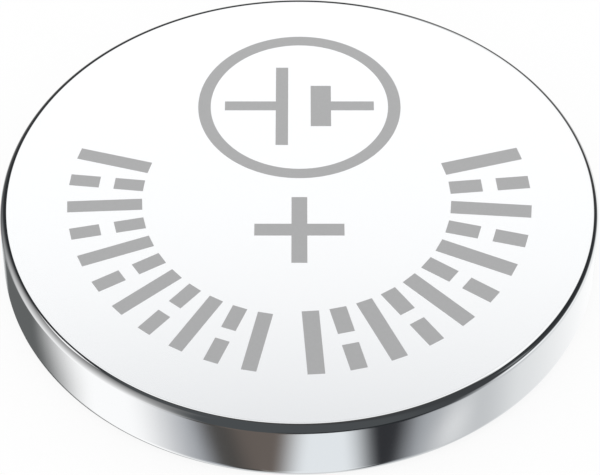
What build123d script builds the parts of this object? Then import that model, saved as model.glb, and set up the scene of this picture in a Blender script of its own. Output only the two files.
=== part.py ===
"""A lithium coin cell, positive face up, in millimetres.

Every piece is round, so each one is a half section turned about the Z axis.
The negative contact face rests on Z = 0 and the positive face is the top of the cell.
"""

import os
from math import cos, radians, sin, tan

from build123d import *

# Whole cell
CELL_DIAMETER = 16.0
CELL_HEIGHT = 2.0

# Positive can: a drawn cup, upside down, with its rim rolled in over the gasket
CAN_SHEET = 0.20
FACE_CORNER = 0.20  # outer radius between the positive face and the wall
ROLL_RADIUS = 0.24  # outer radius of the rolled rim
ROLL_LIFT = 0.06  # height of the rolled rim above the negative contact face
ROLL_REACH = 0.80  # how far the rim reaches in from the wall's outside
ROLL_SLOPE = 8.0  # degrees that the rim bites up into the gasket

# Sealing gasket: a ring between the can and the cap
GASKET_WALL = 0.20
GASKET_FOOT = 0.25  # thickness under the end of the cap's skirt
GASKET_BEAD = 0.08  # what the roll squeezes out beside its edge
BEAD_GAP = 0.02  # between the bead and the cut edge of the rim
GASKET_CAP_GAP = 0.05  # between the gasket's lip and the cap's riser

# Negative cap: a stepped cap with its skirt standing in the gasket
CAP_SHEET = 0.20
SHOULDER_WIDTH = 0.75
SHOULDER_HEIGHT = 0.46  # from the contact face up to the shoulder's outside
SHOULDER_BEVEL = 0.15  # flat between the shoulder and the skirt, where the gasket is squeezed
CONTACT_CORNER = 0.25  # outer radius round the contact face

# What the cell holds
ANODE_GAP = 0.10  # between the lithium and the side of the cap's dish
SKIRT_GAP = 0.25  # between the separator's rim and the cap's skirt
FOOT_GAP = 0.10  # between the separator's rim and the gasket's foot
SEPARATOR_SHEET = 0.12
SEPARATOR_RIM = 0.75  # height of the turned-up rim
RING_SHEET = 0.10
RING_HEIGHT = 0.50
RING_FLANGE = 1.00  # how far the ring reaches in over the pellet

# Faces that several pieces share
can_radius = CELL_DIAMETER / 2
can_bore = can_radius - CAN_SHEET
ceiling = CELL_HEIGHT - CAN_SHEET
skirt_radius = can_bore - GASKET_WALL
skirt_bore = skirt_radius - CAP_SHEET
skirt_end = ceiling - GASKET_FOOT
riser_radius = skirt_radius - SHOULDER_WIDTH
dish_radius = riser_radius - CAP_SHEET
shoulder_inside = SHOULDER_HEIGHT + CAP_SHEET
shoulder_bevel = (
    (skirt_radius - SHOULDER_BEVEL, SHOULDER_HEIGHT, 0),
    (skirt_radius, SHOULDER_HEIGHT + SHOULDER_BEVEL, 0),
)
separator_radius = skirt_bore - SKIRT_GAP
separator_top = shoulder_inside + SEPARATOR_SHEET
ring_radius = separator_radius - SEPARATOR_SHEET
pellet_radius = ring_radius - RING_SHEET

# Line of the rolled rim, as the sheet's outer and inner surfaces
slope = radians(ROLL_SLOPE)
rim_end = can_radius - ROLL_REACH


def roll_corner_height(bend_radius):
    """Height where a wall meets the sloped rim, on the surface with this bend radius."""
    centre_height = ROLL_LIFT + ROLL_RADIUS
    return centre_height - bend_radius * (1 + sin(slope)) / cos(slope)


def rim_height(radius, wall_radius, bend_radius):
    """Height of one surface of the sloped rim at a distance from the axis."""
    return roll_corner_height(bend_radius) + (wall_radius - radius) * tan(slope)


def turned(*corners):
    """Turn a half section about Z. Each corner is its radius, its height and its rounding."""
    outline = FilletPolyline(
        *[(radius, height) for radius, height, _ in corners],
        radius=[rounding for _, _, rounding in corners],
        close=True,
    )
    return revolve(Plane.XZ * make_face(outline), Axis.Z)


def positive_can():
    """Cup with a flat positive face, a straight wall and a rim rolled in underneath."""
    inner_bend = ROLL_RADIUS - CAN_SHEET
    outer_corner = roll_corner_height(ROLL_RADIUS)
    inner_corner = roll_corner_height(inner_bend)
    edge_height = rim_height(rim_end, can_radius, ROLL_RADIUS)
    return turned(
        (0, CELL_HEIGHT, 0),
        (can_radius, CELL_HEIGHT, FACE_CORNER),
        (can_radius, outer_corner, ROLL_RADIUS),
        (rim_end, edge_height, 0),
        (rim_end + CAN_SHEET * sin(slope), edge_height + CAN_SHEET * cos(slope), 0),
        (can_bore, inner_corner, 0),
        (can_bore, ceiling, 0),
        (0, ceiling, 0),
    )


def sealing_gasket():
    """Ring that keeps the cap off the can, with a foot inside and a squeezed lip outside."""
    inner_bend = ROLL_RADIUS - CAN_SHEET
    foot_radius = separator_radius + FOOT_GAP
    bead_radius = rim_end - BEAD_GAP
    lip_radius = riser_radius + GASKET_CAP_GAP
    lip_height = rim_height(bead_radius, can_bore, inner_bend)
    return turned(
        (foot_radius, ceiling, 0),
        (can_bore, ceiling, 0),
        (can_bore, roll_corner_height(inner_bend), 0),
        (bead_radius, lip_height, 0),
        (bead_radius, lip_height - GASKET_BEAD, 0),
        (lip_radius, lip_height - GASKET_BEAD, 0),
        (lip_radius, SHOULDER_HEIGHT, 0),
        *shoulder_bevel,
        (skirt_radius, skirt_end, 0),
        (foot_radius, skirt_end, 0),
    )


def negative_cap():
    """Stepped cap: a flat contact face, a riser, a shoulder and a skirt, all of one sheet."""
    return turned(
        (0, 0, 0),
        (riser_radius, 0, CONTACT_CORNER),
        (riser_radius, SHOULDER_HEIGHT, 0),
        *shoulder_bevel,
        (skirt_radius, skirt_end, 0),
        (skirt_bore, skirt_end, 0),
        (skirt_bore, shoulder_inside, 0),
        (dish_radius, shoulder_inside, 0),
        (dish_radius, CAP_SHEET, 0),
        (0, CAP_SHEET, 0),
    )


def lithium_anode():
    """Lithium disc pressed into the cap's dish, level with the inside of its shoulder."""
    edge = dish_radius - ANODE_GAP
    return turned(
        (0, CAP_SHEET, 0),
        (edge, CAP_SHEET, 0),
        (edge, shoulder_inside, 0),
        (0, shoulder_inside, 0),
    )


def separator():
    """Non-woven disc over the lithium, with its rim turned up round the pellet."""
    rim_top = shoulder_inside + SEPARATOR_RIM
    return turned(
        (0, shoulder_inside, 0),
        (separator_radius, shoulder_inside, 0),
        (separator_radius, rim_top, 0),
        (ring_radius, rim_top, 0),
        (ring_radius, separator_top, 0),
        (0, separator_top, 0),
    )


def cathode_ring():
    """Thin ring of L section, its flange held between the can and the pellet."""
    flange_bore = pellet_radius - RING_FLANGE
    return turned(
        (flange_bore, ceiling, 0),
        (ring_radius, ceiling, 0),
        (ring_radius, ceiling - RING_HEIGHT, 0),
        (pellet_radius, ceiling - RING_HEIGHT, 0),
        (pellet_radius, ceiling - RING_SHEET, 0),
        (flange_bore, ceiling - RING_SHEET, 0),
    )


def cathode_pellet():
    """Pressed tablet between the separator and the can, stepped where the ring sits in it."""
    flange_bore = pellet_radius - RING_FLANGE
    return turned(
        (0, separator_top, 0),
        (pellet_radius, separator_top, 0),
        (pellet_radius, ceiling - RING_SHEET, 0),
        (flange_bore, ceiling - RING_SHEET, 0),
        (flange_bore, ceiling, 0),
        (0, ceiling, 0),
    )


pieces = {
    "positive_can": positive_can(),
    "sealing_gasket": sealing_gasket(),
    "negative_cap": negative_cap(),
    "lithium_anode": lithium_anode(),
    "separator": separator(),
    "cathode_ring": cathode_ring(),
    "cathode_pellet": cathode_pellet(),
}

os.makedirs("parts", exist_ok=True)
for name, piece in pieces.items():
    export_step(piece, f"parts/{name}.step")
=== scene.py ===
"""Dress a lithium coin cell: bright can, satin cap, moulded gasket, frosted marks and the pieces inside.

Each new piece is drawn DRAWING_SCALE times larger than life, because the bevel and merge operators lose
edges of a few hundredths of a millimetre, and it is brought to its real size when it is finished.
Azimuths are in degrees from the front, which is -Y, towards +X.
"""

from math import atan2, cos, hypot, pi, radians, sin, tan

import bmesh
import bpy
from bpy.props import FloatProperty, FloatVectorProperty, IntProperty, PointerProperty
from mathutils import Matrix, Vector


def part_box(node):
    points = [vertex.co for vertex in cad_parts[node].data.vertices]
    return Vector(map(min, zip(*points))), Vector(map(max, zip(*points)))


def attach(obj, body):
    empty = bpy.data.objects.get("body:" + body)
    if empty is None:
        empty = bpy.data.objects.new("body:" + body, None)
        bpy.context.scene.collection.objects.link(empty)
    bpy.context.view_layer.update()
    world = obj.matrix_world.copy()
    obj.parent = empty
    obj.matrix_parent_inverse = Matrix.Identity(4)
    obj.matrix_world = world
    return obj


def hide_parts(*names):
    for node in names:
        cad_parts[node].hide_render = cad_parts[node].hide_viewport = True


bl_info = {
    "name": "Lithium coin cell",
    "version": (1, 0, 0),
    "blender": (4, 5, 0),
    "location": "3D View > Sidebar > Coin Cell",
    "description": "Steel can and cap, gasket, frosted marks, inner pieces and studio of a coin cell",
    "category": "Object",
}

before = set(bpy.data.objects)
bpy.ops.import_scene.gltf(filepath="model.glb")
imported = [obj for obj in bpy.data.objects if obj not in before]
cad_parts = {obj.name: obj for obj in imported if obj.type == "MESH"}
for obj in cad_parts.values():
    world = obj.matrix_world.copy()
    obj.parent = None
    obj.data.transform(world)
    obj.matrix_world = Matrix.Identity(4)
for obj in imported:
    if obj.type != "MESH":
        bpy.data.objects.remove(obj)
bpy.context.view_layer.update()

MM = 0.001
DRAWING_SCALE = 1000.0
PLACE_TOLERANCE = 0.004  # in drawing units, for finding an edge by its place
MERGE_DISTANCE = 0.0004  # in drawing units
LARGE_BEND = 0.1  # in drawing units: a smaller rounding gets fewer steps

can_low, can_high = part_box("positive_can")
cap_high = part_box("negative_cap")[1]
gasket_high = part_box("sealing_gasket")[1]
CAN_RADIUS = can_high.x
CELL_HEIGHT = can_high.z
ROLL_LIFT = can_low.z
CAN_SHEET = CAN_RADIUS - gasket_high.x
CAP_RADIUS = cap_high.x
CAP_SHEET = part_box("lithium_anode")[0].z
SKIRT_END = cap_high.z
CEILING = gasket_high.z
FLAT_KEEPER = 0.03 * MM  # how far past a rounding a ring of edges stands, to keep the flat there flat
BURR = 0.002 * MM  # a little past a line, so that a face that lies on it is surely on one side


def linear(hex_colour):
    """Turn an sRGB hex colour into linear red, green and blue."""
    channels = [int(hex_colour[i : i + 2], 16) / 255 for i in (1, 3, 5)]
    return tuple(c / 12.92 if c <= 0.04045 else ((c + 0.055) / 1.055) ** 2.4 for c in channels)


# Settings that a user would change


def length(name, millimetres, description):
    """A length that a user may change."""
    return FloatProperty(
        name=name,
        description=description,
        default=millimetres * MM,
        min=0,
        unit="LENGTH",
        precision=5,
    )


def blur(name, share, description):
    """How rough a finish is, from 0 for a mirror to 1."""
    return FloatProperty(name=name, description=description, default=share, subtype="FACTOR", min=0, max=1)


def tint(name, hex_colour, description):
    """A colour that a user may change."""
    return FloatVectorProperty(
        name=name,
        description=description,
        default=linear(hex_colour),
        subtype="COLOR",
        min=0,
        max=1,
    )


class CanSettings(bpy.types.PropertyGroup):
    """Sizes and finish of the positive can."""

    face_corner: length("Face corner", 0.20, "Outer radius between the positive face and the wall")
    roll_radius: length("Roll radius", 0.24, "Outer radius of the rolled rim")
    roll_reach: length("Roll reach", 0.80, "How far the rolled rim reaches in from the wall")
    roll_slope: FloatProperty(
        name="Roll slope",
        description="Angle at which the rim bites up into the gasket",
        default=radians(8),
        subtype="ANGLE",
    )
    sections: IntProperty(
        name="Sections",
        description="Flat sections round every turned piece",
        default=384,
        min=48,
    )
    colour: tint("Plating", "#FAFBFC", "Colour that the nickel plating reflects")
    face_roughness: blur("Face blur", 0.13, "Blur of the satin positive face")
    wall_roughness: blur("Wall blur", 0.05, "Blur of the drawn and polished wall")


class CapSettings(bpy.types.PropertyGroup):
    """Sizes and finish of the negative cap."""

    contact_corner: length("Contact corner", 0.25, "Outer radius round the negative contact face")
    shoulder_width: length("Shoulder width", 0.75, "From the outside of the skirt in to the riser")
    shoulder_height: length("Shoulder height", 0.46, "From the contact face up to the shoulder's outside")
    shoulder_bevel: length("Shoulder bevel", 0.15, "Flat between the shoulder and the skirt")
    colour: tint("Plating", "#D3D2CE", "Colour that the satin nickel reflects")


class GasketSettings(bpy.types.PropertyGroup):
    """Sizes and finish of the sealing gasket."""

    foot_width: length("Foot width", 0.55, "Width of the foot that stands on the can's inner face")
    bead: length("Bead", 0.08, "How far the lip is squeezed out beside the rolled rim")
    bead_gap: length("Bead gap", 0.02, "Between the bead and the cut edge of the rolled rim")
    cap_gap: length("Cap gap", 0.05, "Between the lip and the cap's riser")
    edge: length("Edge", 0.03, "Radius of the lip's moulded edges")
    colour: tint("Plastic", "#BFC3C2", "Colour of the natural plastic")


class MarkSettings(bpy.types.PropertyGroup):
    """Sizes, places and colour of the marks on the positive face."""

    height: length("Height", 0.006, "How far the marks stand above the face")
    plus_length: length("Plus length", 2.39, "Length of each stroke of the polarity mark")
    plus_stroke: length("Plus stroke", 0.42, "Width of each stroke of the polarity mark")
    plus_place: length("Plus place", 1.14, "How far the polarity mark stands in front of the axis")
    ring_place: length("Ring place", 3.56, "How far the ring stands behind the axis")
    ring_radius: length("Ring radius", 2.785, "Outer radius of the ring round the circuit sign")
    ring_stroke: length("Ring stroke", 0.344, "Width of the ring round the circuit sign")
    sign_stroke: length("Sign stroke", 0.34, "Width of the sign's leads and of its positive plate")
    plate_stroke: length("Plate stroke", 0.56, "Width of the sign's negative plate")
    plate_gap: length("Plate gap", 0.62, "Between the sign's two plates")
    positive_lead: length("Positive lead", 1.40, "How far the lead stands out of the positive plate")
    positive_arm: length("Positive arm", 1.35, "How far the positive plate reaches on each side of its lead")
    negative_lead: length("Negative lead", 1.18, "How far the lead stands out of the negative plate")
    negative_arm: length("Negative arm", 0.62, "How far the negative plate reaches on each side of its lead")
    band_radius: length("Band radius", 6.2, "From the axis to the outer ends of the bars")
    bar_split: length("Bar split", 0.40, "Between the two halves of a split bar")
    bar_count: IntProperty(name="Bars", description="Bars in each band", default=11, min=2)
    colour: tint("Marks", "#B8B8B8", "Colour of the frosted marks")


class CellSettings(bpy.types.PropertyGroup):
    """Everything that a user would change on the coin cell."""

    can: PointerProperty(type=CanSettings)
    cap: PointerProperty(type=CapSettings)
    gasket: PointerProperty(type=GasketSettings)
    marks: PointerProperty(type=MarkSettings)


# Drawing


def start_drawing(name):
    """Name the primitive that was just added, which is still drawn large, and open it for editing."""
    piece = bpy.context.object
    piece.name = name
    piece.data.name = name
    bpy.ops.object.mode_set(mode="EDIT")
    return piece


def select_edges(piece, wanted):
    """Select the edges of a piece in edit mode for which wanted(edge) is true, and no others."""
    bpy.ops.mesh.select_all(action="DESELECT")
    drawing = bmesh.from_edit_mesh(piece.data)
    for edge in drawing.edges:
        if wanted(edge):
            edge.select_set(True)
    bmesh.update_edit_mesh(piece.data)


def round_ring(piece, before, corner, after):
    """Round the ring of edges at one corner of a turned section. The corners are in drawing units."""
    radius, height, bend = corner

    def on_ring(vert):
        return (
            abs(hypot(vert.co.x, vert.co.y) - radius) < PLACE_TOLERANCE
            and abs(vert.co.z - height) < PLACE_TOLERANCE
        )

    select_edges(piece, lambda edge: on_ring(edge.verts[0]) and on_ring(edge.verts[1]))
    way_in = atan2(height - before[1], radius - before[0])
    way_out = atan2(after[1] - height, after[0] - radius)
    turn = abs((way_out - way_in + pi) % (2 * pi) - pi)
    bpy.ops.mesh.bevel(
        offset_type="OFFSET",
        offset=bend * tan(turn / 2),
        segments=16 if bend > LARGE_BEND else 4,
        profile=0.5,
        affect="EDGES",
        clamp_overlap=False,
    )


def turned(name, corners, closed=False):
    """Turn a section about the Z axis. Each corner is its radius, its height and its rounding, in metres.

    An open section ends in a flat face across its last ring. A closed one returns to its first ring.
    """
    sections = bpy.context.scene.coin_cell.can.sections
    path = [tuple(DRAWING_SCALE * value for value in corner) for corner in corners]
    radius, height, _ = path[0]
    bpy.ops.object.select_all(action="DESELECT")
    bpy.ops.mesh.primitive_circle_add(vertices=sections, radius=radius)
    piece = start_drawing(name)
    bpy.ops.transform.translate(value=(0, 0, height))
    for next_radius, next_height, _ in path[1:] + path[:1] * closed:
        bpy.ops.mesh.extrude_edges_move(TRANSFORM_OT_translate={"value": (0, 0, next_height - height)})
        ratio = next_radius / radius
        bpy.ops.transform.resize(value=(ratio, ratio, 1), center_override=(0, 0, 0))
        radius, height = next_radius, next_height
    if not closed:
        bpy.ops.mesh.edge_face_add()
    bpy.ops.mesh.select_all(action="SELECT")
    bpy.ops.mesh.remove_doubles(threshold=MERGE_DISTANCE)
    for index, corner in enumerate(path):
        if corner[2]:
            round_ring(piece, path[index - 1], corner, path[(index + 1) % len(path)])
    bpy.ops.mesh.select_all(action="SELECT")
    bpy.ops.mesh.normals_make_consistent(inside=False)
    bpy.ops.object.mode_set(mode="OBJECT")
    return piece


def thicken(piece, thickness, outwards=False):
    """Give a drawn surface its thickness, in metres, behind its outer face or in front of it."""
    wall = piece.modifiers.new("thickness", "SOLIDIFY")
    wall.thickness = thickness * DRAWING_SCALE
    wall.offset = 1 if outwards else -1
    wall.use_even_offset = True
    bpy.ops.object.modifier_apply(modifier=wall.name)


def finish_piece(piece, material, lift=0.0):
    """Merge, lift and bring a drawn piece to its real size, smooth it and give it its material."""
    bpy.ops.object.mode_set(mode="EDIT")
    bpy.ops.mesh.select_all(action="SELECT")
    bpy.ops.mesh.remove_doubles(threshold=MERGE_DISTANCE)
    bpy.ops.transform.translate(value=(0, 0, lift * DRAWING_SCALE))
    true_size = 1 / DRAWING_SCALE
    bpy.ops.transform.resize(value=(true_size,) * 3, center_override=(0, 0, 0))
    bpy.ops.object.mode_set(mode="OBJECT")
    bpy.ops.object.shade_smooth_by_angle(angle=radians(30))
    piece.data.materials.append(material)
    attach(piece, "root")


def rolled_height(bend):
    """Height where a wall meets the sloped rim, on the surface of the sheet with this bend radius."""
    can = bpy.context.scene.coin_cell.can
    return ROLL_LIFT + can.roll_radius - bend * (1 + sin(can.roll_slope)) / cos(can.roll_slope)


def drawn_cross(name, core, arms, place):
    """Draw a flat plus or tee: an oblong core with an arm out of its left, right, front and back.

    Core and place are (x, y) in metres, and arms are the four lengths that stand out of the core.
    """
    half = [DRAWING_SCALE * size / 2 for size in core]
    bpy.ops.object.select_all(action="DESELECT")
    bpy.ops.mesh.primitive_plane_add(size=2)
    piece = start_drawing(name)
    bpy.ops.transform.resize(value=(half[0], half[1], 1), center_override=(0, 0, 0))
    for (x, y), arm in zip(((-1, 0), (1, 0), (0, -1), (0, 1)), arms):
        if not arm:
            continue

        def on_side(edge):
            middle = (edge.verts[0].co + edge.verts[1].co) / 2
            return hypot(middle.x - x * half[0], middle.y - y * half[1]) < PLACE_TOLERANCE

        select_edges(piece, on_side)
        reach = arm * DRAWING_SCALE
        bpy.ops.mesh.extrude_edges_move(TRANSFORM_OT_translate={"value": (x * reach, y * reach, 0)})
    bpy.ops.mesh.select_all(action="SELECT")
    bpy.ops.transform.translate(value=(place[0] * DRAWING_SCALE, place[1] * DRAWING_SCALE, 0))
    bpy.ops.mesh.normals_make_consistent(inside=False)
    bpy.ops.object.mode_set(mode="OBJECT")
    return piece


def join(pieces):
    """Join drawn pieces into the first one."""
    bpy.ops.object.select_all(action="DESELECT")
    for piece in pieces:
        piece.select_set(True)
    bpy.context.view_layer.objects.active = pieces[0]
    bpy.ops.object.join()
    return pieces[0]


# Marks on the positive face
#
# Each band of bars is its name, the azimuths of its first and last bars, and a bar's length and width.

BAR_BANDS = (
    ("left_bars", (-106, -12), 2.0 * MM, 0.40 * MM),
    ("right_bars", (4, 106), 2.15 * MM, 0.45 * MM),
)


def polarity_plus():
    """Draw the polarity mark, a plus with four equal arms."""
    marks = bpy.context.scene.coin_cell.marks
    arm = (marks.plus_length - marks.plus_stroke) / 2
    return drawn_cross("polarity_plus", (marks.plus_stroke,) * 2, (arm,) * 4, (0, -marks.plus_place))


def circuit_sign():
    """Draw the circuit sign of a cell: a long thin plate and a short thick one, each with its lead."""
    marks = bpy.context.scene.coin_cell.marks
    thin, thick = marks.sign_stroke, marks.plate_stroke
    positive_plate = drawn_cross(
        "circuit_sign",
        (thin, thin),
        (marks.positive_lead, 0, marks.positive_arm, marks.positive_arm),
        (-(marks.plate_gap + thin) / 2, marks.ring_place),
    )
    negative_plate = drawn_cross(
        "negative_plate",
        (thick, thin),
        (0, marks.negative_lead, marks.negative_arm, marks.negative_arm),
        ((marks.plate_gap + thick) / 2, marks.ring_place),
    )
    return join((positive_plate, negative_plate))


def sign_ring():
    """Draw the flat ring round the circuit sign. It needs half as many sections as the can."""
    cell = bpy.context.scene.coin_cell
    outer = cell.marks.ring_radius * DRAWING_SCALE
    inner = outer - cell.marks.ring_stroke * DRAWING_SCALE
    bpy.ops.object.select_all(action="DESELECT")
    bpy.ops.mesh.primitive_circle_add(vertices=cell.can.sections // 2, radius=outer)
    ring = start_drawing("sign_ring")
    bpy.ops.mesh.extrude_edges_move()
    bpy.ops.transform.resize(value=(inner / outer, inner / outer, 1), center_override=(0, 0, 0))
    bpy.ops.mesh.select_all(action="SELECT")
    bpy.ops.transform.translate(value=(0, cell.marks.ring_place * DRAWING_SCALE, 0))
    bpy.ops.mesh.normals_make_consistent(inside=False)
    bpy.ops.object.mode_set(mode="OBJECT")
    return ring


def bar_band(name, azimuths, bar_length, bar_width):
    """Draw a band of bars that point to the axis, where every second bar is split in two."""
    marks = bpy.context.scene.coin_cell.marks
    first, last = azimuths
    bars = []
    for index in range(marks.bar_count):
        stretches = [(0, bar_length)]
        if index % 2:
            half = (bar_length - marks.bar_split) / 2
            stretches = [(0, half), (half + marks.bar_split, bar_length)]
        for start, end in stretches:
            arm = (end - start - bar_width) / 2
            middle = marks.band_radius - (start + end) / 2
            bar = drawn_cross(name, (bar_width, bar_width), (0, 0, arm, arm), (0, -middle))
            bar.rotation_euler.z = radians(first + (last - first) * index / (marks.bar_count - 1))
            bpy.ops.object.transform_apply(location=False, rotation=True, scale=False)
            bars.append(bar)
    return join(bars)


# Materials
#
# A Mix node names its sockets alike for values and for colours, so those for colours go by number.

SHARE, FIRST, SECOND, MIXED = 0, 6, 7, 2


def add_node(tree, kind, inputs=(), feeds=None, **settings):
    """Add a node, set its properties, and give each named input a value or a link from an output.

    Its first output in use is linked to the socket that it feeds, if there is one.
    """
    node = tree.nodes.new(kind)
    for name, value in settings.items():
        setattr(node, name, value)
    for name, value in dict(inputs).items():
        if isinstance(value, bpy.types.NodeSocket):
            tree.links.new(value, node.inputs[name])
        else:
            node.inputs[name].default_value = value
    if feeds:
        tree.links.new(next(output for output in node.outputs if output.enabled), feeds)
    return node


def new_material(name, colour, metallic, roughness):
    """A material that is even all over until its tree says otherwise: itself, its tree and its shader."""
    material = bpy.data.materials.new(name)
    material.use_nodes = True
    shader = material.node_tree.nodes["Principled BSDF"]
    shader.inputs["Base Color"].default_value = (*colour, 1)
    shader.inputs["Metallic"].default_value = metallic
    shader.inputs["Roughness"].default_value = roughness
    return material, material.node_tree, shader


def grain(tree, size, low, high, drawn_out=(1.0, 1.0, 1.0)):
    """Grains of this size in metres, as a value from low to high. They may be drawn out along an axis."""
    place = add_node(tree, "ShaderNodeTexCoord").outputs["Object"]
    scale = [1 / times for times in drawn_out]
    stretched = add_node(tree, "ShaderNodeMapping", {"Vector": place, "Scale": scale}).outputs[0]
    noise = add_node(
        tree,
        "ShaderNodeTexNoise",
        {"Vector": stretched, "Scale": 1 / size, "Detail": 3.0, "Roughness": 0.6},
    )
    value = add_node(
        tree,
        "ShaderNodeMapRange",
        {"Value": noise.outputs[0], "From Min": 0.3, "From Max": 0.7, "To Min": low, "To Max": high},
    )
    return value.outputs[0]


def nickel_plated_steel():
    """Nickel-plated stainless sheet, deep drawn. Its pressed face is satin and its wall is polished. The
    corner, burnished where the sheet bends, is a plain mirror and shows the studio as thin bands."""
    can = bpy.context.scene.coin_cell.can
    material, tree, shader = new_material("nickel_plated_steel", can.colour, 1.0, 0.0)
    place = add_node(tree, "ShaderNodeTexCoord").outputs["Object"]
    x, y, z = add_node(tree, "ShaderNodeSeparateXYZ", {"Vector": place}).outputs
    outwards = add_node(tree, "ShaderNodeCombineXYZ", {"X": x, "Y": y}).outputs[0]
    radius = add_node(tree, "ShaderNodeVectorMath", {0: outwards}, operation="LENGTH").outputs["Value"]
    face_level = CELL_HEIGHT - can.face_corner / 2
    face_radius = CAN_RADIUS - can.face_corner + BURR
    wall_top = CELL_HEIGHT - can.face_corner + BURR
    high = add_node(tree, "ShaderNodeMath", {0: z, 1: face_level}, operation="GREATER_THAN").outputs[0]
    inner = add_node(tree, "ShaderNodeMath", {0: radius, 1: face_radius}, operation="LESS_THAN").outputs[0]
    face = add_node(tree, "ShaderNodeMath", {0: high, 1: inner}, operation="MULTIPLY").outputs[0]
    wall = add_node(tree, "ShaderNodeMath", {0: z, 1: wall_top}, operation="LESS_THAN").outputs[0]
    wall_blur = add_node(
        tree, "ShaderNodeMath", {0: wall, 1: can.wall_roughness}, operation="MULTIPLY"
    ).outputs[0]
    even = add_node(
        tree,
        "ShaderNodeMath",
        {0: face, 1: can.face_roughness, 2: wall_blur},
        operation="MULTIPLY_ADD",
    )
    # The plating's grain of about 0.01 mm is drawn at 0.12 mm, so that it shows
    uneven = grain(tree, 0.12 * MM, 0.94, 1.06)
    blurs = {0: even.outputs[0], 1: uneven}
    add_node(tree, "ShaderNodeMath", blurs, shader.inputs["Roughness"], operation="MULTIPLY")
    return material


def frosted_steel():
    """The can's steel etched by a laser: frosted to a flat grey, with a fine grain."""
    colour = bpy.context.scene.coin_cell.marks.colour
    material, tree, shader = new_material("frosted_steel", colour, 1.0, 0.4)
    # The laser's spots are about 0.03 mm across, and are drawn twice as large, so that they show
    tone = grain(tree, 0.06 * MM, 0.0, 1.0)
    darker = (*(0.98 * channel for channel in colour), 1)
    lighter = (*(1.02 * channel for channel in colour), 1)
    tones = {SHARE: tone, FIRST: darker, SECOND: lighter}
    add_node(tree, "ShaderNodeMix", tones, shader.inputs["Base Color"], data_type="RGBA")
    return material


def satin_nickel():
    """Nickel-plated stainless sheet as rolled: a soft satin grey with fine lines along the rolling."""
    colour = bpy.context.scene.coin_cell.cap.colour
    material, tree, shader = new_material("satin_nickel", colour, 1.0, 0.3)
    # Rolling lines lie about 0.01 mm apart, and are drawn at 0.05 mm, so that they show
    lines = grain(tree, 0.05 * MM, 0.0, 1.0, drawn_out=(40.0, 1.0, 1.0))
    darker = (*(0.94 * channel for channel in colour), 1)
    tones = {SHARE: lines, FIRST: darker, SECOND: (*colour, 1)}
    add_node(tree, "ShaderNodeMix", tones, shader.inputs["Base Color"], data_type="RGBA")
    roughness = grain(tree, 0.05 * MM, 0.24, 0.36, drawn_out=(40.0, 1.0, 1.0))
    tree.links.new(roughness, shader.inputs["Roughness"])
    add_node(tree, "ShaderNodeBump", {"Height": lines, "Distance": 0.0004 * MM}, shader.inputs["Normal"])
    return material


def moulded_polypropylene():
    """Natural polypropylene, moulded: milky, waxy and a little see-through at its thin edges."""
    colour = bpy.context.scene.coin_cell.gasket.colour
    material, tree, shader = new_material("moulded_polypropylene", colour, 0.0, 0.42)
    shader.inputs["IOR"].default_value = 1.49
    shader.inputs["Subsurface Weight"].default_value = 0.3
    shader.inputs["Subsurface Radius"].default_value = (0.3, 0.3, 0.3)
    shader.inputs["Subsurface Scale"].default_value = 1.0 * MM
    # The mould's eroded finish has pits of about 0.03 mm, and the milkiness drifts over about 0.9 mm
    pits = grain(tree, 0.03 * MM, 0.0, 1.0)
    cloud = grain(tree, 0.9 * MM, 0.0, 1.0)
    darker = (*(0.93 * channel for channel in colour), 1)
    tones = {SHARE: cloud, FIRST: darker, SECOND: (*colour, 1)}
    add_node(tree, "ShaderNodeMix", tones, shader.inputs["Base Color"], data_type="RGBA")
    add_node(tree, "ShaderNodeBump", {"Height": pits, "Distance": 0.0006 * MM}, shader.inputs["Normal"])
    return material


def lithium_foil():
    """Rolled lithium foil, fresh from dry air: soft bright grey with dull patches where it has tarnished."""
    bright, dull = linear("#C4C6CA"), linear("#8E9197")
    material, tree, shader = new_material("lithium_foil", bright, 1.0, 0.4)
    # Tarnish starts in patches of about 1.8 mm, and the rollers leave lines about 0.15 mm apart
    patches = grain(tree, 1.8 * MM, 0.0, 1.0)
    tones = {SHARE: patches, FIRST: (*bright, 1), SECOND: (*dull, 1)}
    add_node(tree, "ShaderNodeMix", tones, shader.inputs["Base Color"], data_type="RGBA")
    tree.links.new(grain(tree, 1.8 * MM, 0.32, 0.6), shader.inputs["Roughness"])
    lines = grain(tree, 0.15 * MM, 0.0, 1.0, drawn_out=(12.0, 1.0, 1.0))
    add_node(tree, "ShaderNodeBump", {"Height": lines, "Distance": 0.002 * MM}, shader.inputs["Normal"])
    return material


def nonwoven_polypropylene():
    """Melt-blown felt: a white web of fibres that lie every way, matt and slightly uneven."""
    white, thin = linear("#ECECE8"), linear("#D2D3CF")
    material, tree, shader = new_material("nonwoven_polypropylene", white, 0.0, 0.9)
    # Fibres of 0.005 mm are drawn as bundles of 0.04 mm, so that they show
    across = grain(tree, 0.04 * MM, 0.0, 1.0, drawn_out=(14.0, 1.0, 1.0))
    along = grain(tree, 0.04 * MM, 0.0, 1.0, drawn_out=(1.0, 14.0, 1.0))
    web = add_node(
        tree, "ShaderNodeMath", {0: across, 1: along}, operation="MAXIMUM", use_clamp=True
    ).outputs[0]
    tones = {SHARE: web, FIRST: (*thin, 1), SECOND: (*white, 1)}
    add_node(tree, "ShaderNodeMix", tones, shader.inputs["Base Color"], data_type="RGBA")
    add_node(tree, "ShaderNodeBump", {"Height": web, "Distance": 0.01 * MM}, shader.inputs["Normal"])
    return material


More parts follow.
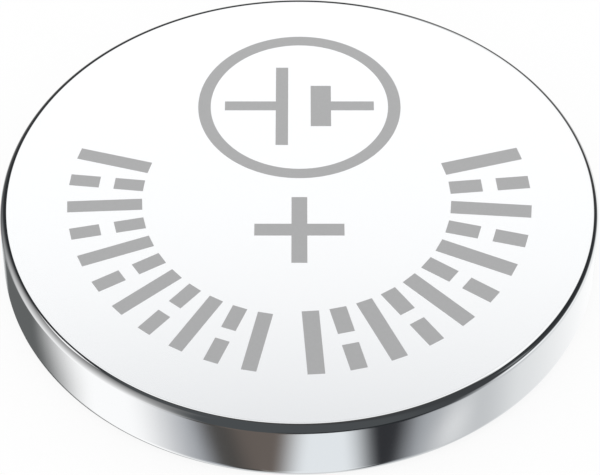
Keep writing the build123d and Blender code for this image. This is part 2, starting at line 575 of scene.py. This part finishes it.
def rolled_stainless():
    """Thin stainless strip, cold rolled and blanked: an even grey with fine lines."""
    grey, dark_grey = linear("#B3B2AF"), linear("#A5A4A1")
    material, tree, shader = new_material("rolled_stainless", grey, 1.0, 0.3)
    # Rolling lines lie about 0.01 mm apart, and are drawn at 0.04 mm, so that they show
    lines = grain(tree, 0.04 * MM, 0.0, 1.0, drawn_out=(40.0, 1.0, 1.0))
    tones = {SHARE: lines, FIRST: (*dark_grey, 1), SECOND: (*grey, 1)}
    add_node(tree, "ShaderNodeMix", tones, shader.inputs["Base Color"], data_type="RGBA")
    roughness = grain(tree, 0.04 * MM, 0.25, 0.36, drawn_out=(40.0, 1.0, 1.0))
    tree.links.new(roughness, shader.inputs["Roughness"])
    return material


def pressed_manganese_dioxide():
    """Pressed powder of manganese dioxide and graphite: near black, matt, with a fine glinting grain."""
    black, graphite = linear("#17171A"), linear("#34353A")
    material, tree, shader = new_material("pressed_manganese_dioxide", black, 0.0, 0.8)
    # The powder's grains of about 0.04 mm are drawn at 0.06 mm, so that they show
    powder = grain(tree, 0.06 * MM, 0.0, 1.0)
    tones = {SHARE: powder, FIRST: (*black, 1), SECOND: (*graphite, 1)}
    add_node(tree, "ShaderNodeMix", tones, shader.inputs["Base Color"], data_type="RGBA")
    tree.links.new(grain(tree, 0.06 * MM, 0.92, 0.6), shader.inputs["Roughness"])
    add_node(tree, "ShaderNodeBump", {"Height": powder, "Distance": 0.004 * MM}, shader.inputs["Normal"])
    return material


def white_paper():
    """White paper under the cell: it keeps a faint shadow, and from below it is clear."""
    shade = 0.15  # share of the paper's white that a shadow can take away
    material, tree, shader = new_material("white_paper", (shade, shade, shade), 0.0, 1.0)
    shader.inputs["Specular IOR Level"].default_value = 0
    shader.inputs["Emission Color"].default_value = (1, 1, 1, 1)
    seen = add_node(tree, "ShaderNodeLightPath").outputs["Is Camera Ray"]
    glow = {0: seen, 1: 1 - shade}
    add_node(tree, "ShaderNodeMath", glow, shader.inputs["Emission Strength"], operation="MULTIPLY")
    from_below = add_node(tree, "ShaderNodeNewGeometry").outputs["Backfacing"]
    clear = add_node(tree, "ShaderNodeBsdfTransparent").outputs[0]
    one_way = {0: from_below, 1: shader.outputs[0], 2: clear}
    add_node(tree, "ShaderNodeMixShader", one_way, tree.nodes["Material Output"].inputs["Surface"])
    return material


# The studio that the steel shows
#
# Each card is its name, its left and right edges, its lower and upper edges, and its tone. An edge is its
# azimuth or elevation and how soft it is. An edge that leans is the elevation and azimuth of its foot,
# those of its head, and how soft it is. A right edge over 180 lies round the back, and None is no edge at
# all. Four numbers as a tone are a grey that goes evenly from one elevation to another. A later card
# stands in front of the earlier ones.

WHITE = "#FFFFFF"
PAPER_GLOW = 1.06  # the lit paper above is a little brighter than the page
HORIZON = ((-1, 1), (200, 1))

# The wall sees upright cards low down, in front of white paper
WALL_CARDS = (
    ("front paper", ((-10, 2), (34, 2)), None, "#E4E8EB"),
    ("right paper", ((34, 2), (116, 42)), None, "#D8DADB"),
    ("right grey card", ((65.2, 16), (85, 12)), None, "#C2C4C6"),
    (
        "light between the cards",
        (((-50.7, 42.9), (-49.7, 60.3), 5), ((-50.7, 54.1), (-49.7, 71.5), 5)),
        ((-50.6, 0.4), (-49.8, 0.4)),
        WHITE,
    ),
    ("grey card by the flag", ((32, 2), ((-50.7, 54.7), (-49.7, 62.2), 11.6)), None, "#A0A3A7"),
    ("black flag", (((-51.6, 27), (-49.6, 22), 8), ((-51.4, 39), (-49.4, 47), 6.7)), None, "#313235"),
    ("left grey card", (((-51.4, -49), (-49.4, -57.5), 16.6), (-20, 2)), None, "#A0A3A8"),
    ("window frame", (((-51.4, -30.5), (-49.4, -44.5), 5.7), (-14, 2)), None, "#4A4846"),
    ("wooden door", (((-51.6, -16), (-49.6, -30), 5), ((-51.7, -6.5), (-49.7, -0.5), 7.5)), None, "#655D58"),
    ("left flag", ((-190, 1), ((-49.2, -104), (-48.2, -112.5), 17)), None, "#616363"),
    ("far right paper", ((168, 6), (190, 3)), None, "#ECEEEE"),
    ("far left paper", ((180.5, 6), (198.5, 4)), None, "#C8CACB"),
    ("shaded table", None, ((-200, 1), (-70, 10)), "#D3D5D6"),
)

# The satin face sees lit paper, a grey ceiling and a pale patch straight above
CEILING_CARDS = (
    ("grey ceiling", None, ((50.2, 4), (200, 1)), "#C9CBCE"),
    ("pale patch", None, ((72, 8), (200, 1)), "#E8EAEC"),
)

# The mirror of the corner sees a dark room. A card without a tone shows the table, as the wall sees it.
ROOM = "#4A4D4F"
ROOM_CARDS = (
    ("right of the room", ((44, 16), (150, 16)), None, "#3E4042"),
    ("far floor", ((132, 8), (224, 9)), None, (-8, 0.06, -46, 0.72)),
    ("shaded back", ((95, 15), (265, 15)), ((14, 6), (62, 4)), "#2C2E30"),
    ("board", ((-119, 18), (-46, 15)), ((-200, 1), (53, 5)), (50, 0.20, -50, 0.97)),
    ("lamp", ((-121, 3), (-99, 3)), ((45.5, 2), (57, 2)), WHITE),
    ("table", None, ((-200, 1), (-43, 3)), None),
    ("right of the table", ((60, 12), (126, 8)), ((-200, 1), (-2, 7)), None),
    ("far right of the table", ((118, 8), (150, 10)), ((-200, 1), (-10, 7)), None),
    ("right light", ((68, 6), (90, 6)), ((-17, 5), (3.5, 5)), "#F4F6F7"),
    ("lower right light", ((88, 6), (108, 6)), ((-17, 5), (-4, 5)), "#F4F6F7"),
    ("small grey card", ((74, 3), (84, 3)), ((17, 4), (37, 4)), "#777A7C"),
    ("front line", ((-6, 5), (48, 5)), ((-52, 1), (-28, 5)), "#282B2D"),
    ("back card", (((19, 155), (62, 121), 7), (200.5, 2)), ((36, 3), (63.2, 2.5)), WHITE),
    ("right back card", (((19, 155), (62, 121), 7), (172, 6)), ((19.5, 6), (50, 4)), WHITE),
)


def past_edge(tree, direction, elevation, edge):
    """0 before a soft edge and 1 past it. The direction is the angle in which the edge is passed."""
    *places, softness = edge
    if len(places) == 1:
        place = places[0]
    else:
        (foot, foot_place), (head, head_place) = places
        leaning = add_node(
            tree,
            "ShaderNodeMapRange",
            {
                "Value": elevation,
                "From Min": foot,
                "From Max": head,
                "To Min": foot_place,
                "To Max": head_place,
            },
        )
        direction = add_node(
            tree, "ShaderNodeMath", {0: direction, 1: leaning.outputs[0]}, operation="SUBTRACT"
        ).outputs[0]
        place = 0.0  # the direction is measured from the leaning edge now
    step = add_node(
        tree,
        "ShaderNodeMapRange",
        {"Value": direction, "From Min": place - softness, "From Max": place + softness},
        interpolation_type="SMOOTHSTEP",
    )
    return step.outputs[0]


def between_edges(tree, direction, elevation, edges):
    """1 between two soft edges, and 0 elsewhere."""
    first, last = [past_edge(tree, direction, elevation, edge) for edge in edges]
    inside = add_node(
        tree, "ShaderNodeMath", {0: first, 1: last}, operation="SUBTRACT", use_clamp=True
    )
    return inside.outputs[0]


def lay_cards(tree, sight, behind, cards, table=None):
    """Lay cards over what is behind them. The sight is the azimuth, the same round the back, and the
    elevation, and the table is what a card without a tone shows."""
    azimuth, round_back, elevation = sight
    for _, sides, ends, tone in cards:
        share = 1.0
        if sides:
            right = sides[1]
            right_place = right[0] if len(right) == 2 else right[1][1]  # at its head, if it leans
            angle = round_back if right_place > 180 else azimuth
            share = between_edges(tree, angle, elevation, sides)
        if ends:
            upright = between_edges(tree, elevation, elevation, ends)
            share = add_node(
                tree, "ShaderNodeMath", {0: share, 1: upright}, operation="MULTIPLY"
            ).outputs[0]
        if tone is None:
            front = table
        elif isinstance(tone, str):
            front = (*linear(tone), 1)
        else:
            high, high_grey, low, low_grey = tone
            front = add_node(
                tree,
                "ShaderNodeMapRange",
                {
                    "Value": elevation,
                    "From Min": high,
                    "From Max": low,
                    "To Min": high_grey,
                    "To Max": low_grey,
                },
            ).outputs[0]
        sights = {SHARE: share, FIRST: behind, SECOND: front}
        behind = add_node(tree, "ShaderNodeMix", sights, data_type="RGBA").outputs[MIXED]
    return behind


def studio_world():
    """White paper for the camera and for matt surfaces, and studio cards for steel."""
    world = bpy.data.worlds.new("studio")
    world.use_nodes = True
    tree = world.node_tree
    direction = add_node(tree, "ShaderNodeTexCoord").outputs["Generated"]
    x, y, z = add_node(tree, "ShaderNodeSeparateXYZ", {0: direction}).outputs
    front = add_node(tree, "ShaderNodeMath", {0: y, 1: -1.0}, operation="MULTIPLY").outputs[0]
    turn = add_node(tree, "ShaderNodeMath", {0: x, 1: front}, operation="ARCTAN2").outputs[0]
    azimuth = add_node(tree, "ShaderNodeMath", {0: turn}, operation="DEGREES").outputs[0]
    round_back = add_node(
        tree, "ShaderNodeMath", {0: azimuth, 1: 360.0}, operation="FLOORED_MODULO"
    ).outputs[0]
    lift = add_node(tree, "ShaderNodeMath", {0: z}, operation="ARCSINE").outputs[0]
    elevation = add_node(tree, "ShaderNodeMath", {0: lift}, operation="DEGREES").outputs[0]
    sight = (azimuth, round_back, elevation)

    table = lay_cards(tree, sight, (*linear(WHITE), 1), WALL_CARDS)
    ceiling = lay_cards(tree, sight, (PAPER_GLOW, PAPER_GLOW, PAPER_GLOW, 1), CEILING_CARDS)
    above = between_edges(tree, elevation, elevation, HORIZON)
    sights = {SHARE: above, FIRST: table, SECOND: ceiling}
    satin = add_node(tree, "ShaderNodeMix", sights, data_type="RGBA").outputs[MIXED]
    mirror = lay_cards(tree, sight, (*linear(ROOM), 1), ROOM_CARDS, table)

    path = add_node(tree, "ShaderNodeLightPath").outputs
    sights = {SHARE: path["Is Singular Ray"], FIRST: satin, SECOND: mirror}
    steel = add_node(tree, "ShaderNodeMix", sights, data_type="RGBA").outputs[MIXED]
    sights = {SHARE: path["Is Glossy Ray"], FIRST: (*linear(WHITE), 1), SECOND: steel}
    add_node(tree, "ShaderNodeMix", sights, tree.nodes["Background"].inputs["Color"], data_type="RGBA")
    return world


# Stage


def lay_paper():
    """Lay the white paper. Steel and the other surfaces see the studio in its place."""
    floor_size = 4.0  # metres, so that its edges lie far outside every view
    bpy.ops.object.select_all(action="DESELECT")
    bpy.ops.mesh.primitive_plane_add(size=floor_size, location=(0, 0, -BURR))
    floor = bpy.context.object
    floor.name = "floor"
    floor.data.materials.append(white_paper())
    floor.visible_glossy = False
    floor.visible_diffuse = False


def light_from_below():
    """Hang a soft lamp under the paper. It lights the cap alone, so that its satin shows from below."""
    depth = 60 * MM
    lamp_data = bpy.data.lights.new("under_lamp", "AREA")
    lamp_data.shape = "DISK"
    lamp_data.size = 400 * MM
    lamp_data.energy = 0.16  # watts
    lamp = bpy.data.objects.new("under_lamp", lamp_data)
    bpy.context.scene.collection.objects.link(lamp)
    lamp.location = (0, 0, -depth)
    lamp.rotation_euler = (pi, 0, 0)
    lamp.visible_camera = False
    lit_by_it = bpy.data.collections.new("lit_from_below")
    lit_by_it.objects.link(bpy.data.objects["negative_cap_shell"])
    lamp.light_linking.receiver_collection = lit_by_it


def place_camera():
    """Place the camera as it was fitted to the outlines of the face and of the wall."""
    image_width = 600  # pixels
    focal_length = 3065.0  # pixels
    shift_right, shift_up = 0.61, -13.01  # pixels from the camera's axis to the image's middle
    elevation = radians(46.378)
    distance = 82.67 * MM  # from the middle of the cell
    camera_data = bpy.data.cameras.new("camera")
    camera_data.sensor_width = 36.0  # millimetres
    camera_data.lens = focal_length * camera_data.sensor_width / image_width
    camera_data.shift_x = shift_right / image_width
    camera_data.shift_y = shift_up / image_width
    camera_data.clip_start = 1.0 * MM
    camera_data.clip_end = 20.0  # metres
    camera = bpy.data.objects.new("camera", camera_data)
    bpy.context.scene.collection.objects.link(camera)
    camera.location = (0, -distance * cos(elevation), CELL_HEIGHT / 2 + distance * sin(elevation))
    camera.rotation_euler = (radians(90) - elevation, 0, 0)
    bpy.context.scene.camera = camera


# Operators


class COINCELL_OT_positive_can(bpy.types.Operator):
    """Draw the positive can with its rounded corner and rolled rim"""

    bl_idname = "coincell.positive_can"
    bl_label = "Positive can"

    def execute(self, context):
        can = context.scene.coin_cell.can
        corner_height = rolled_height(can.roll_radius)
        rim_height = corner_height + can.roll_reach * tan(can.roll_slope)
        tangent = can.roll_radius * tan(radians(45) + can.roll_slope / 2)
        piece = turned(
            "positive_can_shell",
            (
                (CAN_RADIUS - can.roll_reach, rim_height, 0),
                (CAN_RADIUS, corner_height, can.roll_radius),
                (CAN_RADIUS, corner_height + tangent + FLAT_KEEPER, 0),
                (CAN_RADIUS, CELL_HEIGHT - can.face_corner - FLAT_KEEPER, 0),
                (CAN_RADIUS, CELL_HEIGHT, can.face_corner),
                (CAN_RADIUS - can.face_corner - FLAT_KEEPER, CELL_HEIGHT, 0),
            ),
        )
        thicken(piece, CAN_SHEET)
        finish_piece(piece, nickel_plated_steel())
        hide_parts("positive_can")
        return {"FINISHED"}


class COINCELL_OT_negative_cap(bpy.types.Operator):
    """Draw the negative cap: contact face, riser, shoulder and the skirt that stands in the gasket"""

    bl_idname = "coincell.negative_cap"
    bl_label = "Negative cap"

    def execute(self, context):
        cap = context.scene.coin_cell.cap
        riser = CAP_RADIUS - cap.shoulder_width
        shoulder = cap.shoulder_height
        piece = turned(
            "negative_cap_shell",
            (
                (CAP_RADIUS, SKIRT_END, 0),
                (CAP_RADIUS, shoulder + cap.shoulder_bevel, 0),
                (CAP_RADIUS - cap.shoulder_bevel, shoulder, 0),
                (riser, shoulder, 0),
                (riser, cap.contact_corner + FLAT_KEEPER, 0),
                (riser, 0, cap.contact_corner),
                (riser - cap.contact_corner - FLAT_KEEPER, 0, 0),
            ),
        )
        thicken(piece, CAP_SHEET)
        finish_piece(piece, satin_nickel())
        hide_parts("negative_cap")
        return {"FINISHED"}


class COINCELL_OT_sealing_gasket(bpy.types.Operator):
    """Draw the gasket: a foot under the cap's skirt, a wall, and a lip squeezed out by the rolled rim"""

    bl_idname = "coincell.sealing_gasket"
    bl_label = "Sealing gasket"

    def execute(self, context):
        cell = context.scene.coin_cell
        can, cap, gasket = cell.can, cell.cap, cell.gasket
        bore = CAN_RADIUS - CAN_SHEET
        bend_height = rolled_height(can.roll_radius - CAN_SHEET)
        bead_radius = CAN_RADIUS - can.roll_reach - gasket.bead_gap
        lip_height = bend_height + (bore - bead_radius) * tan(can.roll_slope)
        lip_radius = CAP_RADIUS - cap.shoulder_width + gasket.cap_gap
        foot_radius = bore - gasket.foot_width
        piece = turned(
            "sealing_gasket_ring",
            (
                (foot_radius, CEILING, 0),
                (bore, CEILING, 0),
                (bore, bend_height, 0),
                (bead_radius, lip_height, 0),
                (bead_radius, lip_height - gasket.bead, gasket.edge),
                (lip_radius, lip_height - gasket.bead, gasket.edge),
                (lip_radius, cap.shoulder_height, 0),
                (CAP_RADIUS - cap.shoulder_bevel, cap.shoulder_height, 0),
                (CAP_RADIUS, cap.shoulder_height + cap.shoulder_bevel, 0),
                (CAP_RADIUS, SKIRT_END, 0),
                (foot_radius, SKIRT_END, 0),
            ),
            closed=True,
        )
        finish_piece(piece, moulded_polypropylene())
        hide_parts("sealing_gasket")
        return {"FINISHED"}


class COINCELL_OT_marks(bpy.types.Operator):
    """Draw the polarity mark, the circuit sign in its ring and two bands of bars on the positive face"""

    bl_idname = "coincell.marks"
    bl_label = "Marks"

    def execute(self, context):
        height = context.scene.coin_cell.marks.height
        material = frosted_steel()
        marks = [polarity_plus(), circuit_sign(), sign_ring(), *(bar_band(*band) for band in BAR_BANDS)]
        for mark in marks:
            bpy.ops.object.select_all(action="DESELECT")
            mark.select_set(True)
            context.view_layer.objects.active = mark
            thicken(mark, height, outwards=True)
            finish_piece(mark, material, lift=CELL_HEIGHT)
        return {"FINISHED"}


class COINCELL_OT_inner_pieces(bpy.types.Operator):
    """Finish the lithium, the separator, the ring and the pellet, which the closed cell hides"""

    bl_idname = "coincell.inner_pieces"
    bl_label = "Inner pieces"

    def execute(self, context):
        finishes = {
            "lithium_anode": lithium_foil(),
            "separator": nonwoven_polypropylene(),
            "cathode_ring": rolled_stainless(),
            "cathode_pellet": pressed_manganese_dioxide(),
        }
        for node, finish in finishes.items():
            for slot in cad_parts[node].material_slots:
                slot.material = finish
        return {"FINISHED"}


class COINCELL_OT_stage(bpy.types.Operator):
    """Make the floor, the studio, the lamp and the camera"""

    bl_idname = "coincell.stage"
    bl_label = "Stage"

    def execute(self, context):
        lay_paper()
        context.scene.world = studio_world()
        context.scene.view_settings.view_transform = "Standard"
        light_from_below()
        place_camera()
        return {"FINISHED"}


class COINCELL_PT_panel(bpy.types.Panel):
    """Lists the pieces of the coin cell and their settings"""

    bl_idname = "COINCELL_PT_panel"
    bl_label = "Coin cell"
    bl_space_type = "VIEW_3D"
    bl_region_type = "UI"
    bl_category = "Coin Cell"

    def draw(self, context):
        cell = context.scene.coin_cell
        for group in (cell.can, cell.cap, cell.gasket, cell.marks):
            box = self.layout.box()
            for name in group.__annotations__:
                box.prop(group, name)
        for operator in OPERATORS:
            self.layout.operator(operator.bl_idname)


OPERATORS = (
    COINCELL_OT_positive_can,
    COINCELL_OT_negative_cap,
    COINCELL_OT_sealing_gasket,
    COINCELL_OT_marks,
    COINCELL_OT_inner_pieces,
    COINCELL_OT_stage,
)
CLASSES = (
    CanSettings,
    CapSettings,
    GasketSettings,
    MarkSettings,
    CellSettings,
    *OPERATORS,
    COINCELL_PT_panel,
)


def register():
    """Register the classes and give every scene the settings of the cell."""
    for item in CLASSES:
        bpy.utils.register_class(item)
    bpy.types.Scene.coin_cell = PointerProperty(type=CellSettings)


def unregister():
    """Take the settings and the classes away again."""
    del bpy.types.Scene.coin_cell
    for item in reversed(CLASSES):
        bpy.utils.unregister_class(item)


def main():
    """Make every piece in order."""
    register()
    bpy.ops.coincell.positive_can()
    bpy.ops.coincell.negative_cap()
    bpy.ops.coincell.sealing_gasket()
    bpy.ops.coincell.marks()
    bpy.ops.coincell.inner_pieces()
    bpy.ops.coincell.stage()


if __name__ == "__main__":
    main()
